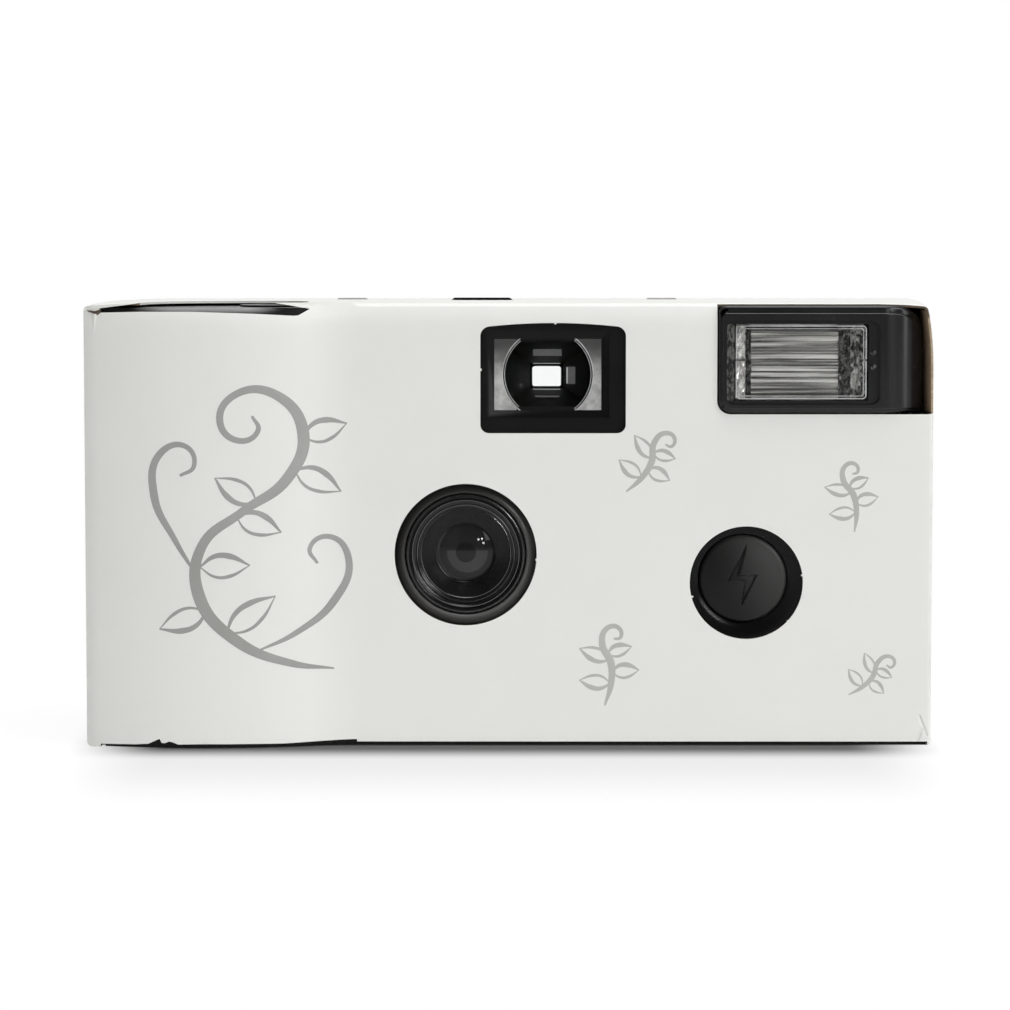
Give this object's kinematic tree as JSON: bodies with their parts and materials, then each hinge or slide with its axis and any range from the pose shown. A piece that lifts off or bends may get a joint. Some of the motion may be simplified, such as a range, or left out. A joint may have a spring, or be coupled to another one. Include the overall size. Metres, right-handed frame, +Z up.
{
  "type": "disposable film camera",
  "caption": "Flat single-use film camera in a folded card sleeve, with fixed lens, viewfinder, built-in flash, flash button, shutter button and thumb wheel film advance.",
  "frame": {"origin": "middle of the footprint, on the underside of the card sleeve", "axes": "+X to the right as seen from the front, the front with the lens faces -Y, +Z up"},
  "size_m": [0.115, 0.033, 0.06],
  "materials": {
    "card": "coated white card, tan inside",
    "black_plastic": "fine-grained black moulding",
    "gloss_black": "polished black moulding",
    "chassis_plastic": "dull black inner moulding",
    "clear_plastic": "clear moulding",
    "reflector_metal": "bright plated reflector",
    "flash_glass": "clear tube",
    "spring_steel": "bright spring steel",
    "contact_brass": "plain brass strip",
    "board": "green laminate",
    "capacitor_skin": "dark shrink sleeve",
    "winding": "taped winding",
    "lamp": "translucent orange",
    "cell": "plain grey cell jacket",
    "cassette_metal": "plain grey sheet",
    "film": "brown film base",
    "pale_plastic": "pale moulding"
  },
  "bodies": {
    "camera": {"card_sleeve": "card", "front_cover": "black_plastic", "rear_cover": "black_plastic", "chassis": "chassis_plastic", "cassette_door": "black_plastic", "lens_retainer": "gloss_black", "taking_lens": "clear_plastic", "shutter_plate": "chassis_plastic", "shutter_spring": "spring_steel", "striker_spring": "spring_steel", "viewfinder_front_lens": "clear_plastic", "viewfinder_tunnel": "chassis_plastic", "viewfinder_eyepiece": "clear_plastic", "flash_window": "clear_plastic", "flash_reflector": "reflector_metal", "flash_tube": "flash_glass", "circuit_board": "board", "flash_capacitor": "capacitor_skin", "flash_transformer": "winding", "trigger_coil": "winding", "flash_switch_dome": "spring_steel", "sync_contact": "contact_brass", "ready_lamp": "lamp", "battery": "cell", "battery_contact_plus": "contact_brass", "battery_contact_minus": "contact_brass", "cassette_shell": "cassette_metal", "cassette_caps": "cassette_metal", "ratchet_pawl": "chassis_plastic", "counter_window": "clear_plastic", "film_strip": "film"},
    "shutter_button": {"shutter_button": "gloss_black"},
    "release_lever": {"release_lever": "spring_steel"},
    "striker": {"striker": "spring_steel"},
    "shutter_blade": {"shutter_blade": "chassis_plastic"},
    "flash_button": {"flash_button": "black_plastic"},
    "advance_wheel": {"advance_wheel": "black_plastic", "cassette_spool": "black_plastic"},
    "sprocket": {"sprocket": "pale_plastic"},
    "counter_disc": {"counter_disc": "pale_plastic"},
    "supply_spool": {"supply_spool": "black_plastic", "film_roll": "film"}
  },
  "joints": [
    {"name": "shutter_press", "type": "slide", "parent": "camera", "child": "shutter_button", "axis": [0, 0, -1], "range_m": [0, 0.0015], "stiffness_N_per_m": 250},
    {"name": "release_lever_tilt", "type": "hinge", "parent": "camera", "child": "release_lever", "pos_m": [-0.025, -0.0073, 0.0515], "axis": [0, -1, 0], "range_deg": [0, 19.1]},
    {"name": "striker_swing", "type": "hinge", "parent": "camera", "child": "striker", "pos_m": [-0.0186, -0.00695, 0.04], "axis": [0, -1, 0], "range_deg": [0, 19.4], "deforming": ["striker_spring"]},
    {"name": "shutter_blade_swing", "type": "hinge", "parent": "camera", "child": "shutter_blade", "pos_m": [-0.0121, -0.00695, 0.031], "axis": [0, 1, 0], "range_deg": [0, 34.92]},
    {"name": "flash_press", "type": "slide", "parent": "camera", "child": "flash_button", "axis": [0, 1, 0], "range_m": [0, 0.0012], "stiffness_N_per_m": 250},
    {"name": "wheel_spin", "type": "hinge", "parent": "camera", "child": "advance_wheel", "pos_m": [-0.041, 0, 0.05], "axis": [0, 0, 1], "continuous": true},
    {"name": "sprocket_spin", "type": "hinge", "parent": "camera", "child": "sprocket", "pos_m": [-0.0225, 0.0073, 0.04], "axis": [0, 0, 1], "continuous": true},
    {"name": "counter_spin", "type": "hinge", "parent": "camera", "child": "counter_disc", "pos_m": [-0.0105, 0.00605, 0.054], "axis": [0, 0, 1], "continuous": true},
    {"name": "supply_spin", "type": "hinge", "parent": "camera", "child": "supply_spool", "pos_m": [0.038, 0.00425, 0.026], "axis": [0, 0, 1], "continuous": true}
  ],
  "couplings": [
    {"joint": "release_lever_tilt", "follows": "shutter_press", "rad_per_m": 222.22},
    {"joint": "shutter_blade_swing", "follows": "striker_swing", "ratio": 1.8},
    {"joint": "sprocket_spin", "follows": "wheel_spin", "ratio": 1.3223},
    {"joint": "counter_spin", "follows": "wheel_spin", "ratio": -0.04408},
    {"joint": "supply_spin", "follows": "wheel_spin", "ratio": 0.9756}
  ]
}
